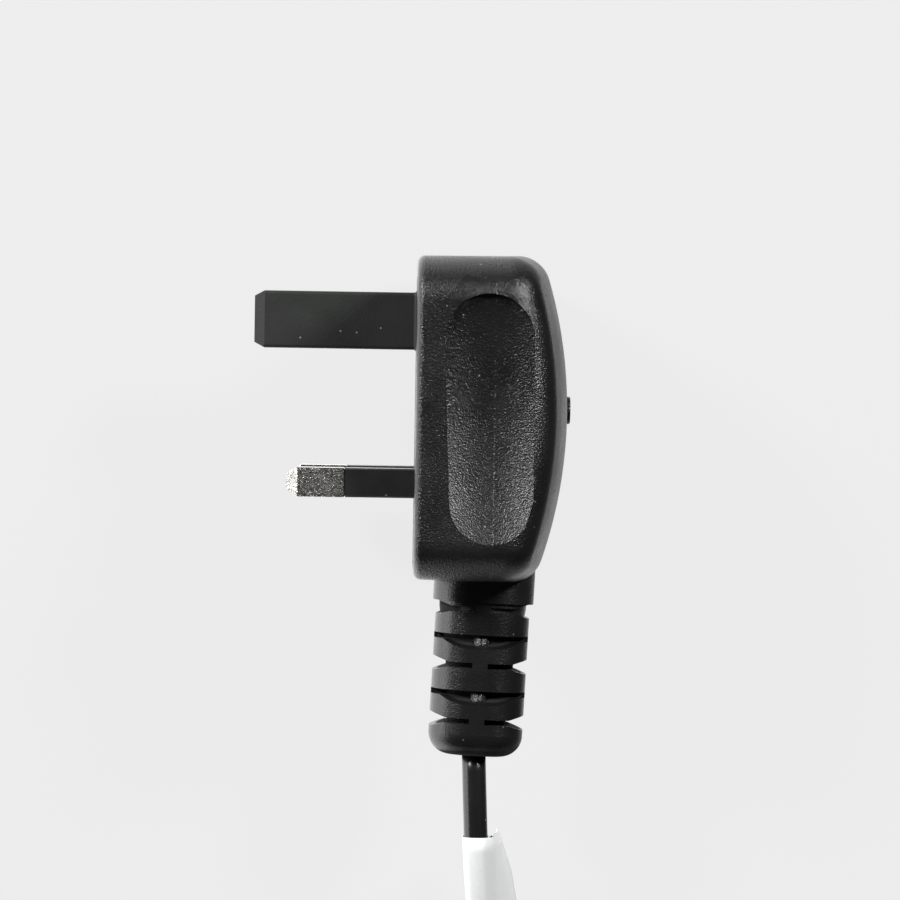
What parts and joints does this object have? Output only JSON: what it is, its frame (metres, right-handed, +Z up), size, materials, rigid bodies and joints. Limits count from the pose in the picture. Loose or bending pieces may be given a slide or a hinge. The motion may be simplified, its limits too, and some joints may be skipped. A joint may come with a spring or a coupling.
{
  "type": "moulded mains plug on a lead",
  "caption": "Moulded mains plug lying on its side, with sleeved flat pins, a plastic earth pin, a pull-out fuse carrier and a flat cord coiled up to its appliance connector.",
  "frame": {"origin": "middle of the plug on the surface that it lies on, without the cord", "axes": "+X from the pins to the back of the plug, +Y from the cord end to the earth pin end, +Z up"},
  "size_m": [0.0703, 0.2026, 0.0486],
  "materials": {
    "outer_moulding": "spark-eroded grain",
    "hard_base": "fine matt",
    "inner_plastic": "as moulded",
    "pin_sleeve": "satin",
    "plated_pin": "satin nickel plate",
    "contact_metal": "rolled sheet",
    "copper": "bunched strands",
    "fuse_ceramic": "fired",
    "fuse_cap": "bright nickel plate",
    "brown_insulation": "extruded",
    "blue_insulation": "extruded",
    "cord_sheath": "satin extruded",
    "label_paper": "smooth",
    "connector_moulding": "fine matt"
  },
  "bodies": {
    "plug": {"body_moulding": "outer_moulding", "inner_base": "hard_base", "inner_cover": "inner_plastic", "line_fuse_clip": "contact_metal", "supply_fuse_clip": "contact_metal", "neutral_tag": "contact_metal", "cord_sheath_end": "cord_sheath", "line_pin": "plated_pin", "line_pin_sleeve": "pin_sleeve", "neutral_pin": "plated_pin", "neutral_pin_sleeve": "pin_sleeve", "line_core_insulation": "brown_insulation", "line_core_strands": "copper", "neutral_core_insulation": "blue_insulation", "neutral_core_strands": "copper", "cord_lead": "cord_sheath", "cord_coil": "cord_sheath", "cord_tail": "cord_sheath", "cord_label": "label_paper", "connector_body": "connector_moulding", "connector_nose": "hard_base", "connector_line_contact": "contact_metal", "connector_neutral_contact": "contact_metal"},
    "fuse_drawer": {"fuse_carrier": "hard_base", "fuse_barrel": "fuse_ceramic", "fuse_cap_earth_end": "fuse_cap", "fuse_cap_cord_end": "fuse_cap", "fuse_wire": "copper"}
  },
  "joints": [
    {"name": "fuse_carrier_slide", "type": "slide", "parent": "plug", "child": "fuse_drawer", "axis": [-1, 0, 0], "range_m": [0, 0.016]}
  ]
}
